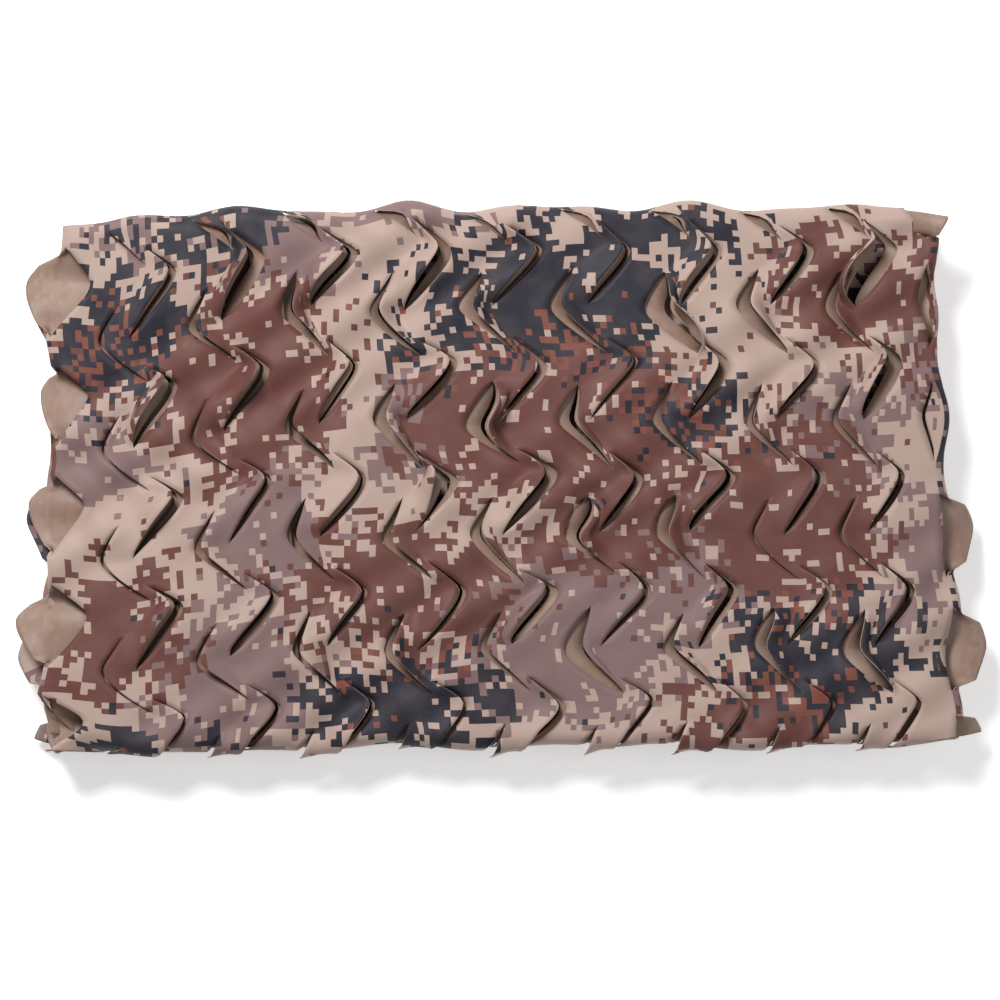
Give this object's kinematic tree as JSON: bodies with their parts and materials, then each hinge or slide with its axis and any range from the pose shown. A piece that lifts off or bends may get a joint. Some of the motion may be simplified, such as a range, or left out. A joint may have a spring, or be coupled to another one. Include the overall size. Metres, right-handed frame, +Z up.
{
  "type": "folded camouflage netting",
  "caption": "Length of die-cut camouflage netting laid back and forth into a flat bundle, its tongues lifted and its folds standing out at both ends.",
  "frame": {"origin": "middle of the bundle's box in X and Y, on the surface that it rests on", "axes": "+X along the bundle's long side, from fold to fold; +Y across the net, parallel to the folds; +Z up, out of the printed top ply"},
  "size_m": [0.5331, 0.3094, 0.0451],
  "materials": {
    "printed_cloth": "coated cloth printed in small squares on one side, plain taupe on the other"
  },
  "bodies": {
    "root": {"net": "printed_cloth"}
  },
  "joints": []
}
